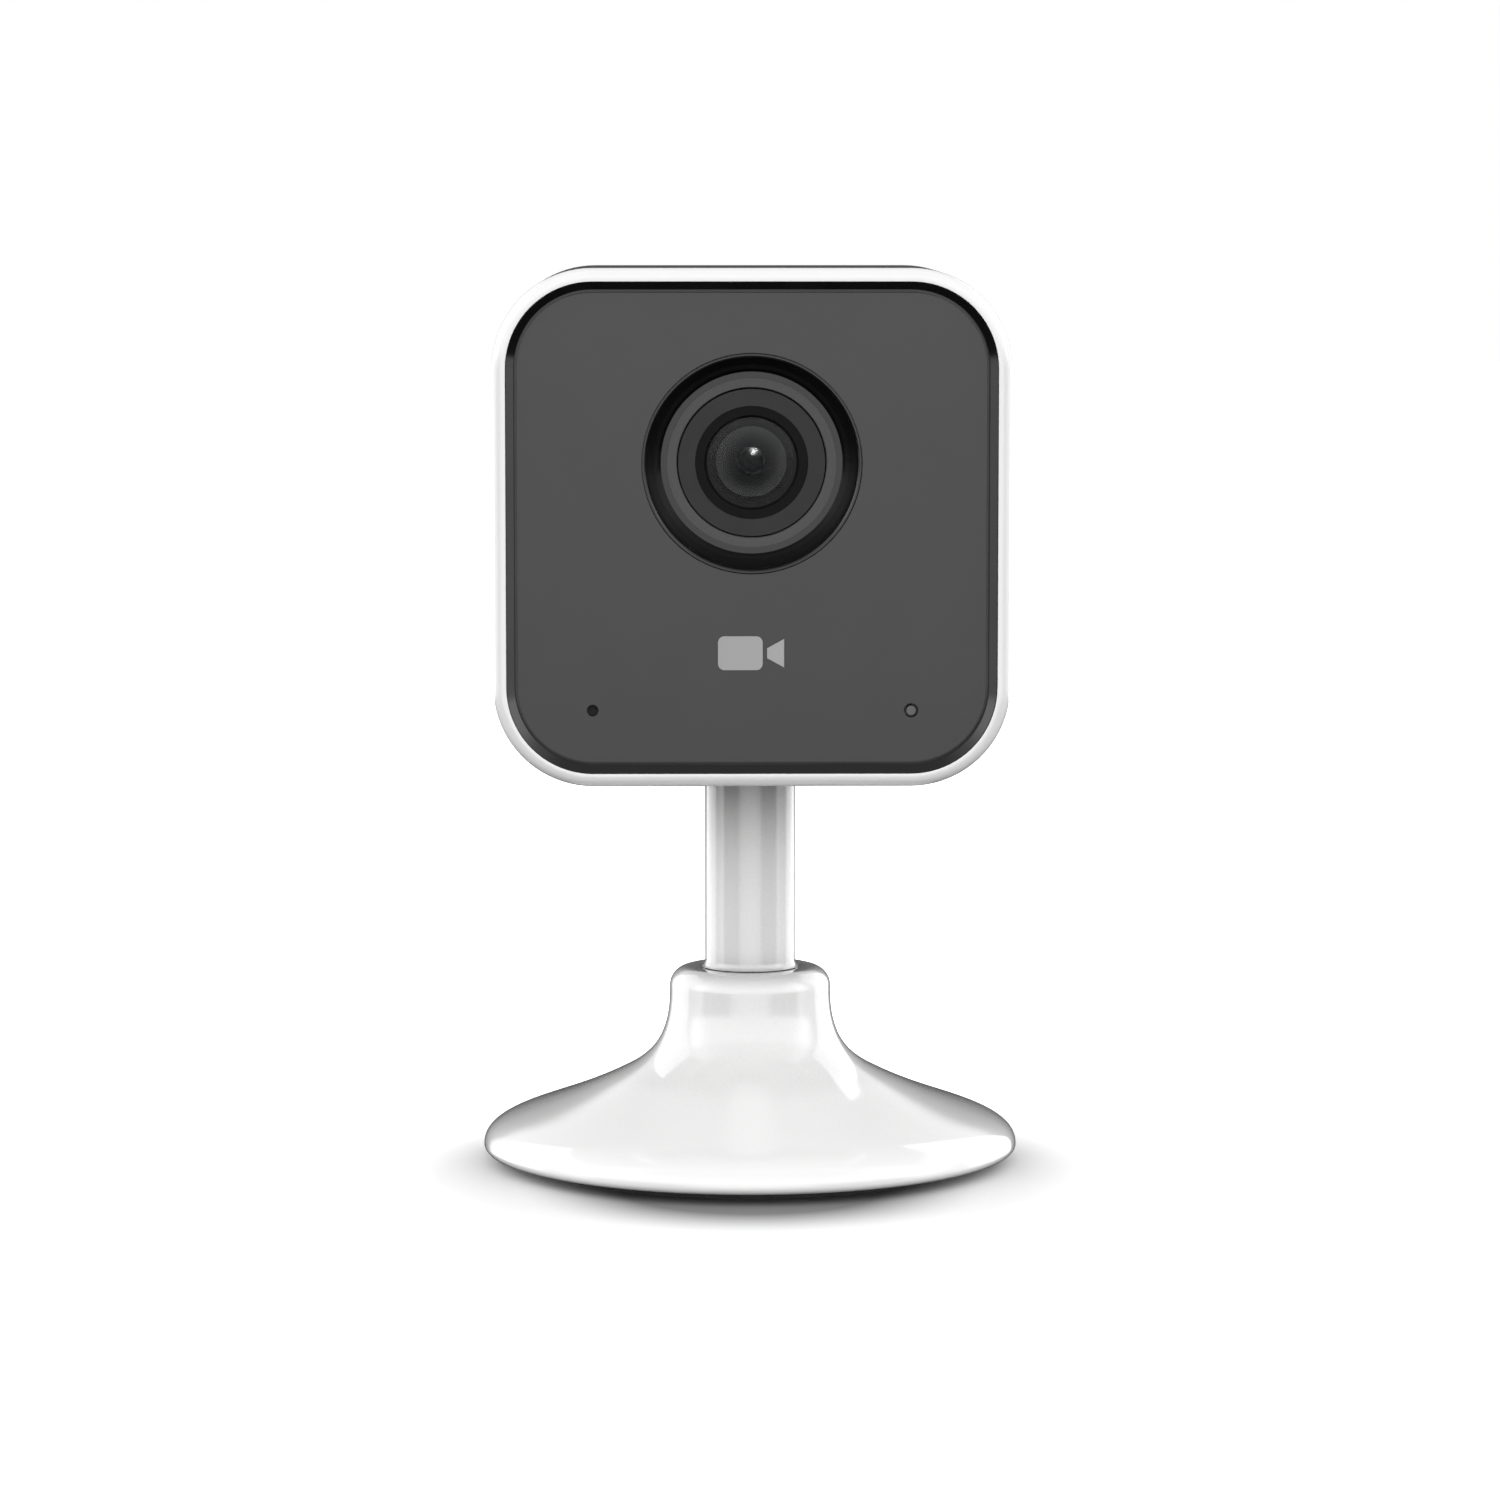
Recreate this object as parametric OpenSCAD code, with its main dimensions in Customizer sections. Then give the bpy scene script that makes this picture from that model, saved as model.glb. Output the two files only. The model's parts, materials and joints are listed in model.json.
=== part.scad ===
// Compact indoor security camera: a rounded-square head tilts on a short stem,
// and the stem turns in a weighted magnetic base.
// Millimetres, +Z up. The lens looks along -Y. The origin is on the table,
// under the middle of the base.

/* [Base] */
// Widest diameter of the base
base_d = 61.8; // [60:0.2:64]
// Height of the collar's top above the table
collar_h = 22.6; // [22.4:0.1:23.4]
// Diameter of the collar round the foot of the stem
collar_d = 18.6; // [18:0.1:19.2]
// Wall of the base shell
base_wall = 1.8; // [1.6:0.1:2]
// Thickness of the rubber foot pad
pad_t = 1.4; // [1.2:0.1:1.4]

/* [Stem] */
// Outside diameter of the stem's white sleeve
stem_d = 10.4; // [9.8:0.1:10.6]
// Diameter of the steel rod inside the sleeve
rod_d = 6.8; // [6.4:0.1:7]
// Height of the tilt axis above the table
tilt_z = 54; // [50:0.5:60]
// Diameter of the tilt pin
pin_d = 3.0; // [2.6:0.1:3.2]
// Furthest the head looks down, in degrees
tilt_down = 20; // [10:1:22]

/* [Head] */
// Width and height of the head
head_w = 58; // [57.4:0.2:60]
// Radius of the head's corners
head_r = 11.2; // [10.8:0.1:12]
// Depth of the head from the front lip to the back
head_depth = 28.4; // [28.4:0.2:29.4]
// Height of the head's centre above the tilt axis
head_rise = 20.5; // [20.4:0.1:20.9]
// Wall of the rear housing
wall = 1.8; // [1.6:0.1:1.9]
// Width of the white lip round the front
lip_w = 1.5; // [1.3:0.1:1.6]
// Rounding of the head's rear edge
rear_edge = 5; // [4:0.2:5]

/* [Lens] */
// Height of the lens axis above the head's centre
lens_rise = 7.2; // [6.6:0.1:7.6]
// Diameter of the opening in the front panel
lens_open_d = 24.7; // [24.4:0.1:25.2]
// Distance that the two filters slide to change places
filter_travel = 5.4; // [5.2:0.1:5.6]

/* [Hidden] */

// A circle is drawn with this many sides in a quick look
$fn = 64;
// Overlap that makes a cut pass cleanly through a face
cut = 0.5;
// Radial clearance of a pin or a rod in its bore
running = 0.05;

// Base
base_r = base_d / 2;
collar_r = collar_d / 2;
// Lowest edge of the shell, which stands a little lower than the floor plate
rim_z = pad_t - 0.2;
// Height of the base's widest circle
widest_z = 2.0;
// Width of the rounding under the widest circle
rim_w = 0.95;
// Where the flare changes from hollow to crowned
flare_turn = [16, 9.9];
// Top of the flare, where the collar's straight side starts
collar_side_z = collar_h - 2.7;
collar_edge = 2.2;
flare_upper = [[collar_r, collar_side_z], [collar_r, 13.3], [12.3, 11.7], flare_turn];
flare_lower = [flare_turn, [24.8, 5.6], [base_r, 5.5], [base_r, widest_z]];
flare_steps = 14;
// Boss inside the collar, and the bush in it
boss_r = 8.2;
boss_z = 12;
bush_r = 5.2;
bush_top = collar_h - 0.3;
floor_t = 1.2;
floor_z = pad_t + floor_t;
floor_r = base_r - 2.3;
pad_r = base_r - 5;
ballast_r = 15.5;
ballast_in = 7;
magnet_in = 8;
magnet_top = 4.9;
ballast_top = 7.4;
// Fence that keeps the magnet and the ballast in the middle
fence = [ballast_r + 0.4, ballast_r + 1.4];
fence_h = 3;
base_screw_at = 20;
base_screw_r = 0.95;
base_screw_l = 4.4;
base_screw_head = [1.9, 0.7];
base_boss = [2.6, 6.2];
base_pilot = 3.4;
// Places of the three base screws, as angles
base_angles = [0 : 120 : 240];

// Stem
stem_r = stem_d / 2;
rod_r = rod_d / 2;
thread_r = 3.0;
thread_foot_z = 5.0;
shoulder_z = 11;
washer_t = 0.8;
washer_r = 6.2;
nut_w = 10;
nut_h = 4;
nut_collar = [4.7, 1];
// The foot of the sleeve: a short edge and a hollow flare, close above the collar
stem_foot_z = collar_h + 0.03;
foot_r = 5.65;
foot_edge = 0.08;
foot_flare = [foot_r - stem_r, 0.8];
sleeve_edge = 0.4;
sleeve_top = tilt_z - 5;
knuckle_r = 5.0;
knuckle_half = 4.4;

// Head
head_half = head_w / 2;
head_z = tilt_z + head_rise;
front_y = -19;
back_y = front_y + head_depth;
seam_y = -11;
seam_gap = 0.25;
lip_half = head_half - lip_w;
lip_r = head_r - lip_w;
inner_half = head_half - wall;
inner_r = head_r - wall;
inner_back = back_y - wall;

// Front stack, from the front face inwards
frame_front = front_y + 0.2;
bevel_back = front_y + 0.92;
bevel_w = 0.9;
pocket_half = lip_half - bevel_w;
panel_gap = 0.35;
panel_half = pocket_half - panel_gap;
panel_r = lip_r - bevel_w - panel_gap;
panel_front = front_y + 0.9;
panel_back = panel_front + 1.2;
plate_front = panel_back + 0.3;
plate_back = plate_front + 1.2;
front_board_y = plate_back + 1.8;
front_board_t = 1.0;
main_board_y = back_y - 12;
main_board_t = 1.6;
main_board_back = main_board_y + main_board_t;
// Inward step of the front ring
shelf_w = 1.4;
lip_edge = 1.2;
// Processor, with a pad and a heat spreader behind it
chip_half = 6;
chip_h = 1;
chip_mid_z = head_z + 11.3;
spreader_front = main_board_back + chip_h + 0.6;

// Small openings in the lower corners of the front panel
corner_hole = [17.85, tilt_z + 0.05];
mic_hole_r = 0.65;
led_hole_r = 0.8;
light_pipe_r = 0.52;
// Infrared lamps at each side of the lens
lamp_x = 18.6;
sensor_at = [18.6, 70];

// Lens
lens_z = head_z + lens_rise;
lens_open_r = lens_open_d / 2;
surround_back = panel_front + 2.9;
trim_r = 9.5;
barrel_head_r = 8.25;
barrel_front = surround_back + 0.1;
barrel_step = barrel_front + 2.4;
barrel_back = barrel_front + 6.9;
barrel_thread_r = 6.0;
retainer_r = 6.35;
glass_r = 5.5;
glass_open_r = 5.07;
glass_seat = barrel_front + 0.6;
dome_sag = 0.95;
element_r = 4.6;
// Backs of the front and the middle element, the stop and the rear element
front_back = glass_seat + 2.1;
middle_back = glass_seat + 3.1;
stop_back = glass_seat + 3.4;
lens_lip = 0.5;
stop_r = 1.4;

// Infrared filter changer behind the lens
holder_half = [10, 9];
holder_front = barrel_back - 0.4;
carriage_half_z = 4.2;
carriage_y = barrel_back + 0.8;
carriage_t = 1.0;
cavity_half = [9.2, 4.8];
cavity_front = barrel_back + 0.4;
filter_w = 4.4;
// Places of the two filters: the first is behind the lens, the second beside it
filter_x = [0, -filter_travel];

// Hinge pocket in the head
pocket_x = 5.6;
pocket_wall = 1.4;
pocket_out = pocket_x + pocket_wall;
pivot = [0, tilt_z];
ear_t = 1.2;

// Screw places on the head, as distances from the stem axis and heights
housing_screw_at = [
    [-19.5, head_z + 19.5], [19.5, head_z + 19.5], [-20.6, head_z - 12.7], [20.6, head_z - 12.7]
];
board_screw_at = [[-22.8, head_z + 9.8], [22.8, head_z + 9.8], [-13.2, head_z - 22.9], [13.2, head_z - 22.9]];
bracket_screw_at = [12, tilt_z + 2];
bracket_screws_at = [for (side = [-1, 1]) [side * bracket_screw_at[0], bracket_screw_at[1]]];
bracket_foot = [3.2, 3.2 + ear_t];
seat_y = 1.0;

// Back of the head
speaker_z = head_z + 10.8;
speaker_r = 10;
speaker_back = inner_back - 5.2;
gasket_t = 0.8;
usb_z = head_z - 7.7;
usb_well = [11, 7.5];
usb_floor = back_y - 4.4;
usb_wall = 1.2;
reset_at = [-12, head_z - 7.7];
reset_r = 1.65;
reset_travel = 0.4;
switch_h = 2.4;
switch_stem = 1.0;
card_z = head_z - 0.7;
card_gap = [1.4, 12];

white = "#f4f4f2";
black = "#17181a";
smoke = "#3b3c3e";
steel = "#b9bcc0";
board = "#1d5b35";

// ---- Points of outlines ----

// Point of a cubic curve with the control points p
function curve_point(p, t) =
    pow(1 - t, 3) * p[0] + 3 * t * pow(1 - t, 2) * p[1] + 3 * t * t * (1 - t) * p[2] + pow(t, 3) * p[3];
// Direction of that curve
function curve_way(p, t) =
    3 * pow(1 - t, 2) * (p[1] - p[0]) + 6 * t * (1 - t) * (p[2] - p[1]) + 3 * t * t * (p[3] - p[2]);
// Point at a depth inside that curve
function inner_point(p, t, depth) =
    let (way = curve_way(p, t), size = norm(way))
    curve_point(p, t) - depth / size * [-way[1], way[0]];
// Points of an ellipse's arc
function arc(centre, radii, from, to, steps) = [
    for (i = [0 : steps])
        let (angle = from + (to - from) * i / steps)
        centre + [radii[0] * cos(angle), radii[1] * sin(angle)]
];

// ---- Shapes that repeat ----

// A plate with its outline in X and Z, from y0 to y1
module plate_y(y0, y1) {
    translate([0, y1, 0])
        rotate([90, 0, 0])
            linear_extrude(y1 - y0)
                children();
}

// A plate with its outline in Y and Z, from x0 to x1
module plate_x(x0, x1) {
    translate([x0, 0, 0])
        rotate([90, 0, 90])
            linear_extrude(x1 - x0)
                children();
}

// A round bar along Y
module bar_y(at, y0, y1, r) {
    translate([at[0], y0, at[1]])
        rotate([-90, 0, 0])
            cylinder(r = r, h = y1 - y0);
}

// A round bar along X through the tilt axis
module bar_x(x0, x1, r) {
    translate([x0, 0, tilt_z])
        rotate([0, 90, 0])
            cylinder(r = r, h = x1 - x0);
}

// A ring round an axis along Y
module ring_y(at, y0, y1, outer, inner) {
    difference() {
        bar_y(at, y0, y1, outer);
        bar_y(at, y0 - cut, y1 + cut, inner);
    }
}

// A ring round the stem axis
module ring_z(z0, z1, outer, inner) {
    translate([0, 0, z0])
        difference() {
            cylinder(r = outer, h = z1 - z0);
            translate([0, 0, -cut])
                cylinder(r = inner, h = z1 - z0 + 2 * cut);
        }
}

// A box given by its lowest and highest corners
module box(low, high) {
    translate(low)
        cube(high - low);
}

// A solid turned round the lens axis from an outline of [radius, y] points
module lens_turned(points) {
    translate([0, 0, lens_z])
        rotate([-90, 0, 0])
            rotate_extrude()
                polygon(points);
}

// A square with rounded corners about the head's centre, in X and Z
module round_square(half, r) {
    translate([0, head_z]) {
        square([2 * half, 2 * (half - r)], center = true);
        square([2 * (half - r), 2 * half], center = true);
        for (x = [-1, 1], z = [-1, 1])
            translate([x * (half - r), z * (half - r)])
                circle(r);
    }
}

// Cross section of a block from y0 to y1 whose edges at y1 are rounded by e
module edge_section(half, y0, y1, e) {
    side = sign(y1 - y0);
    translate([-half, min(y0, y1 - side * e)])
        square([2 * half, abs(y1 - y0) - e]);
    translate([e - half, min(y0, y1)])
        square([2 * (half - e), abs(y1 - y0)]);
    for (x = [-1, 1])
        translate([x * (half - e), y1 - side * e])
            circle(e);
}

// Half of such a section, for turning
module corner_section(r, y0, y1, e) {
    side = sign(y1 - y0);
    translate([0, min(y0, y1 - side * e)])
        square([r, abs(y1 - y0) - e]);
    translate([0, min(y0, y1)])
        square([r - e, abs(y1 - y0)]);
    translate([r - e, y1 - side * e])
        circle(e);
}

// A block with a rounded-square outline, from a sharp edge at y0 to a rounded one at y1
module soft_block(half, r, y0, y1, e) {
    c = half - r;
    for (angle = [0, 90])
        translate([0, 0, head_z])
            rotate([0, angle, 0])
                translate([0, 0, -c])
                    linear_extrude(2 * c)
                        edge_section(half, y0, y1, e);
    for (x = [-1, 1], z = [-1, 1])
        translate([x * c, 0, head_z + z * c])
            rotate([-90, 0, 0])
                rotate_extrude()
                    corner_section(r, y0, y1, e);
}

// A pan-head screw along Y: its head stands behind the seat and it points forwards
module screw_y(at, seat, head_r, head_h, shank_r, length) {
    difference() {
        union() {
            bar_y(at, seat, seat + head_h, head_r);
            bar_y(at, seat - length, seat, shank_r);
        }
        for (arm = [[head_r * 1.1, 0.4], [0.4, head_r * 1.1]])
            translate([at[0], seat + head_h, at[1]])
                cube([arm[0], head_h, arm[1]], center = true);
    }
}

// ---- Base ----

module base_shell() {
    outline = concat(
        [[0, rim_z], [0, collar_h]],
        arc([collar_r - collar_edge, collar_h - collar_edge], [collar_edge, collar_edge], 90, 0, 8),
        [for (i = [0 : flare_steps]) curve_point(flare_upper, i / flare_steps)],
        [for (i = [1 : flare_steps]) curve_point(flare_lower, i / flare_steps)],
        arc([base_r - rim_w, widest_z], [rim_w, widest_z - rim_z], -15, -90, 5)
    );
    hollow = concat(
        [[0, rim_z - cut], [0, collar_side_z]],
        [for (i = [0 : flare_steps]) inner_point(flare_upper, i / flare_steps, base_wall)],
        [for (i = [1 : flare_steps]) inner_point(flare_lower, i / flare_steps, base_wall)],
        [[base_r - base_wall, rim_z - cut]]
    );
    color(white)
        difference() {
            union() {
                difference() {
                    rotate_extrude()
                        polygon(outline);
                    difference() {
                        rotate_extrude()
                            polygon(hollow);
                        translate([0, 0, boss_z])
                            cylinder(r = boss_r, h = collar_h);
                    }
                }
                for (angle = base_angles)
                    rotate(angle)
                        translate([0, base_screw_at, floor_z])
                            cylinder(r = base_boss[0], h = base_boss[1] - floor_z);
            }
            translate([0, 0, boss_z - cut])
                cylinder(r = bush_r, h = collar_h);
            for (angle = base_angles)
                rotate(angle)
                    translate([0, base_screw_at, floor_z - cut])
                        cylinder(r = base_screw_r, h = base_pilot + cut);
        }
}

module base_floor() {
    color(black)
        difference() {
            union() {
                translate([0, 0, pad_t])
                    cylinder(r = floor_r, h = floor_t);
                ring_z(floor_z - 0.1, floor_z + fence_h, fence[1], fence[0]);
            }
            for (angle = base_angles)
                rotate(angle)
                    translate([0, base_screw_at, 0]) {
                        cylinder(r = base_screw_r + 0.2, h = floor_z + cut);
                        cylinder(r = base_screw_head[0] + 0.1, h = pad_t + base_screw_head[1]);
                    }
        }
}

module foot_pad() {
    color("#2c2d2f")
        cylinder(r = pad_r, h = pad_t);
}

module magnet_ring() {
    color("#6d6f73")
        ring_z(floor_z, magnet_top, ballast_r, magnet_in);
}

module ballast_ring() {
    color(steel)
        ring_z(magnet_top, ballast_top, ballast_r, ballast_in);
}

module base_screws() {
    color(steel)
        for (angle = base_angles)
            rotate(angle)
                translate([0, base_screw_at, pad_t])
                    difference() {
                        union() {
                            cylinder(r = base_screw_head[0], h = base_screw_head[1]);
                            cylinder(r = base_screw_r, h = base_screw_l);
                        }
                        for (arm = [[2.2, 0.4], [0.4, 2.2]])
                            cube([arm[0], arm[1], base_screw_head[1]], center = true);
                    }
}

module swivel_bush() {
    color("#e6e4da")
        ring_z(boss_z, bush_top, bush_r, rod_r + running);
}

// ---- Stem ----

module stem_sleeve() {
    outline = concat(
        [[rod_r, stem_foot_z], [foot_r, stem_foot_z]],
        arc([foot_r, stem_foot_z + foot_edge + foot_flare[1]], foot_flare, 270, 180, 6),
        [[stem_r, sleeve_top - sleeve_edge], [stem_r - sleeve_edge, sleeve_top], [rod_r, sleeve_top]]
    );
    color(white)
        rotate_extrude()
            polygon(outline);
}

module stem_core() {
    color(steel)
        difference() {
            union() {
                translate([0, 0, shoulder_z])
                    cylinder(r = rod_r, h = tilt_z - shoulder_z);
                translate([0, 0, thread_foot_z])
                    cylinder(r = thread_r, h = shoulder_z - thread_foot_z + cut);
                bar_x(-knuckle_half, knuckle_half, knuckle_r);
            }
            bar_x(-knuckle_half - cut, knuckle_half + cut, pin_d / 2 + running);
        }
}

module swivel_spring_washer() {
    // A conical spring washer, a little higher at its rim
    bottom = shoulder_z;
    top = boss_z - 0.1;
    thick = 0.35;
    inner = 3.7;
    outer = 7.2;
    color(steel)
        rotate_extrude()
            polygon([
                [inner, bottom], [inner + 0.7, bottom], [outer, top - thick],
                [outer, top], [outer - 0.7, top], [inner, bottom + thick]
            ]);
}

module swivel_flat_washer() {
    color(steel)
        ring_z(shoulder_z - washer_t, shoulder_z, washer_r, thread_r + running);
}

module swivel_nut() {
    bottom = shoulder_z - washer_t - nut_h;
    total = nut_h + nut_collar[1];
    color(steel)
        difference() {
            union() {
                translate([0, 0, bottom])
                    cylinder(d = nut_w / cos(30), h = nut_h, $fn = 6);
                translate([0, 0, bottom - nut_collar[1]])
                    cylinder(r = nut_collar[0], h = nut_collar[1]);
            }
            translate([0, 0, bottom - nut_collar[1] - cut])
                cylinder(r = thread_r + running / 2, h = total + 2 * cut);
        }
}

// ---- Head: hinge ----

// Outline of the space round the hinge, or of its walls, in Y and Z.
// It is open downwards and to the back, so that the stem can swing through it.
module hinge_outline(r) {
    down = [-sin(tilt_down), -cos(tilt_down)];
    front = pivot + r * [-cos(tilt_down), sin(tilt_down)];
    translate(pivot)
        circle(r);
    polygon([
        front, front + 16 * down, [back_y + 2, front[1] - 16 * cos(tilt_down)],
        [back_y + 2, tilt_z + r], [0, tilt_z + r], pivot
    ]);
}

module hinge_bracket() {
    web_z = tilt_z + pocket_out + 0.1;
    color(steel)
        difference() {
            union() {
                box([-pocket_out - ear_t, -4, web_z], [pocket_out + ear_t, 3.4, web_z + ear_t]);
                for (side = [-1, 1]) {
                    ear = [side * pocket_out, side * (pocket_out + ear_t)];
                    bar_x(min(ear), max(ear), 4.2);
                    box([min(ear), -4, tilt_z], [max(ear), bracket_foot[1], web_z + ear_t]);
                    foot = [side * pocket_out, side * (bracket_screw_at[0] + 2.6)];
                    box(
                        [min(foot), bracket_foot[0], bracket_screw_at[1] - 3.5],
                        [max(foot), bracket_foot[1], bracket_screw_at[1] + 3.5]
                    );
                }
            }
            bar_x(-20, 20, pin_d / 2);
            for (at = bracket_screws_at)
                bar_y(at, 0, 6, 1.1);
        }
}

module bracket_screws() {
    color(steel)
        for (at = bracket_screws_at)
            mirror([0, 1, 0])
                screw_y(at, -bracket_foot[0], 1.9, 1.2, 1.0, 4.4);
}

module tilt_pin() {
    ear_out = pocket_out + ear_t;
    color(steel)
        difference() {
            union() {
                bar_x(-ear_out, ear_out + 1.4, pin_d / 2);
                bar_x(-ear_out - 1.2, -ear_out, 2.4);
            }
            difference() {
                bar_x(ear_out, ear_out + 0.7, pin_d / 2 + cut);
                bar_x(ear_out - cut, ear_out + 1, pin_d / 2 - 0.4);
            }
        }
}

module pin_clip() {
    ear_out = pocket_out + ear_t;
    color(steel)
        difference() {
            bar_x(ear_out, ear_out + 0.7, 3);
            bar_x(ear_out - cut, ear_out + 1, pin_d / 2 - 0.4);
            box([ear_out - cut, -0.8, tilt_z - 4], [ear_out + 1, 0.8, tilt_z]);
        }
}

module friction_washers() {
    color("#d9d4c4")
        for (side = [-1, 1]) {
            face = [side * (knuckle_half + running), side * pocket_x];
            difference() {
                bar_x(min(face), max(face), 4.8);
                bar_x(min(face) - cut, max(face) + cut, pin_d / 2 + 0.1);
            }
        }
}

// ---- Head: housing ----

// Nineteen holes in three rings, in front of the speaker
module grille_holes() {
    rings = [[0, 1], [2.7, 6], [5.4, 12]];
    for (ring = rings, i = [1 : ring[1]])
        bar_y(
            [ring[0] * cos(360 * i / ring[1]), speaker_z + ring[0] * sin(360 * i / ring[1])],
            inner_back - cut, back_y + cut, 0.55
        );
}

// Walls inside the rear housing
module housing_ribs() {
    intersection() {
        plate_x(-pocket_out, pocket_out)
            hinge_outline(pocket_out);
        translate([-pocket_out, 0, 0])
            rotate([90, 0, 90])
                linear_extrude(2 * pocket_out)
                    translate([0, head_z])
                        rotate(-90)
                            edge_section(head_half, seam_y + 0.2, back_y, rear_edge);
    }
    ring_y([0, speaker_z], speaker_back + 0.8, inner_back + cut, speaker_r + 1.15, speaker_r + 0.15);
    well = [usb_well[0] / 2 + usb_wall, usb_well[1] / 2 + usb_wall];
    box([-well[0], usb_floor - usb_wall, usb_z - well[1]], [well[0], inner_back + cut, usb_z + well[1]]);
    for (at = housing_screw_at)
        bar_y(at, main_board_back, inner_back + cut, 3.4);
    for (at = bracket_screws_at)
        bar_y(at, bracket_foot[1], inner_back + cut, 2.4);
}

module rear_housing() {
    color(white)
        difference() {
            union() {
                difference() {
                    soft_block(head_half, head_r, seam_y + seam_gap / 2, back_y, rear_edge);
                    soft_block(inner_half, inner_r, seam_y - cut, inner_back, rear_edge - wall);
                }
                housing_ribs();
            }
            plate_x(-pocket_x, pocket_x)
                hinge_outline(pocket_x);
            bar_x(-pocket_out - cut, pocket_out + cut, pin_d / 2 + 0.1);
            grille_holes();
            box(
                [-usb_well[0] / 2, usb_floor, usb_z - usb_well[1] / 2],
                [usb_well[0] / 2, back_y + cut, usb_z + usb_well[1] / 2]
            );
            box([-4, usb_floor - 2 * usb_wall, usb_z - 1.5], [4, usb_floor + cut, usb_z + 1.5]);
            bar_y(reset_at, inner_back - cut, back_y + cut, reset_r + 0.15);
            box(
                [inner_half - cut, main_board_back + 0.2, card_z - card_gap[1] / 2],
                [head_half + cut, main_board_back + 0.2 + card_gap[0], card_z + card_gap[1] / 2]
            );
            for (at = housing_screw_at) {
                bar_y(at, seat_y, back_y + cut, 2.3);
                bar_y(at, main_board_back - cut, seat_y + cut, 1.15);
            }
            for (at = bracket_screws_at)
                bar_y(at, bracket_foot[1] - cut, inner_back + 0.2, 1.0);
        }
}

module front_ring() {
    tongue = inner_half - 0.1;
    ring_back = seam_y - seam_gap / 2;
    color(white)
        difference() {
            union() {
                soft_block(head_half, head_r, ring_back, front_y, lip_edge);
                plate_y(ring_back - cut, seam_y + 1.6)
                    round_square(tongue, inner_r - 0.1);
            }
            plate_y(front_y - cut, plate_back)
                round_square(lip_half, lip_r);
            plate_y(front_y, seam_y + 3)
                round_square(lip_half - shelf_w, lip_r - shelf_w);
            // Room for the foot of the hinge pocket
            box([-pocket_out - 0.3, ring_back, 0], [pocket_out + 0.3, seam_y + 3, tilt_z]);
        }
}

// ---- Head: front ----

// Posts on the front frame: four for the housing screws and four for the main board
module frame_posts() {
    for (at = housing_screw_at) {
        bar_y(at, plate_back - 0.1, front_board_y, 3.2);
        bar_y(at, plate_back - 0.1, main_board_back, 2.5);
    }
    for (at = board_screw_at)
        bar_y(at, plate_back - 0.1, main_board_y, 1.9);
}

module front_frame() {
    out = lip_half - running;
    out_r = lip_r - running;
    color(black)
        difference() {
            union() {
                plate_y(frame_front, plate_back)
                    round_square(out, out_r);
                frame_posts();
            }
            // The bevel that runs in from the lip: four flat runs and four cones
            translate([0, 0, head_z])
                frame_bevel();
            plate_y(frame_front - cut, plate_front)
                round_square(pocket_half, lip_r - bevel_w);
            bar_y([0, lens_z], frame_front, plate_back + cut, lens_open_r);
            for (side = [-1, 1])
                bar_y([side * lamp_x, lens_z], plate_front - cut, plate_back + cut, 2.4);
            bar_y(sensor_at, plate_front - cut, plate_back + cut, 1.2);
            bar_y([-corner_hole[0], corner_hole[1]], plate_front - cut, plate_back + cut, 2.0);
            bar_y(corner_hole, plate_front - cut, plate_back + cut, 1.0);
            for (at = housing_screw_at)
                bar_y(at, main_board_back - 5.6, main_board_back + cut, 1.0);
            for (at = board_screw_at)
                bar_y(at, main_board_y - 3.4, main_board_y + cut, 0.9);
        }
}

// The wedge that a bevel takes off the frame's front edge, about the head's centre
module frame_bevel() {
    c = lip_half - lip_r;
    mouth = lip_r + 0.6;
    throat = lip_r - bevel_w;
    rise = bevel_back - frame_front;
    wedge = [
        [0, frame_front - rise], [mouth + 0.4, frame_front - rise], [lip_r, frame_front],
        [throat, bevel_back], [0, bevel_back]
    ];
    for (angle = [0 : 90 : 270])
        rotate([0, angle, 0]) {
            translate([c, 0, c])
                rotate([-90, 0, 0])
                    rotate_extrude()
                        polygon(wedge);
            translate([c, 0, -c])
                linear_extrude(2 * c)
                    polygon(wedge);
        }
}

module front_panel() {
    color(smoke)
        difference() {
            plate_y(panel_front, panel_back)
                round_square(panel_half, panel_r);
            bar_y([0, lens_z], panel_front - cut, panel_back + cut, lens_open_r);
            bar_y([-corner_hole[0], corner_hole[1]], panel_front - cut, panel_back + cut, mic_hole_r);
            bar_y(corner_hole, panel_front - cut, panel_back + cut, led_hole_r);
        }
}

module panel_tape() {
    color("#222222")
        difference() {
            plate_y(panel_back, plate_front)
                round_square(panel_half - 0.2, panel_r - 0.2);
            plate_y(panel_back - cut, plate_front + cut)
                round_square(panel_half - 2, panel_r - 2);
        }
}

// ---- Head: lens ----

module lens_surround() {
    out = lens_open_r - 0.1;
    color(black)
        lens_turned([
            [trim_r, surround_back], [10.2, surround_back], [11.9, panel_front + 0.15], [12.05, panel_front],
            [out, panel_front], [out, plate_back], [14, plate_back], [14, plate_back + 1],
            [trim_r, plate_back + 1]
        ]);
}

module lens_trim_ring() {
    color("#55565a")
        lens_turned([
            [8.4, surround_back + 0.1], [8.5, surround_back], [trim_r, surround_back],
            [trim_r, plate_back + 1], [8.4, plate_back + 1]
        ]);
}

module lens_barrel() {
    color("#2d2e30")
        lens_turned([
            [retainer_r, barrel_front], [barrel_head_r, barrel_front], [barrel_head_r, barrel_step],
            [barrel_thread_r, barrel_step], [barrel_thread_r, barrel_back], [4.0, barrel_back],
            [4.0, barrel_back - lens_lip], [element_r, barrel_back - lens_lip], [element_r, front_back],
            [glass_r, front_back], [glass_r, glass_seat], [retainer_r, glass_seat]
        ]);
}

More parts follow.
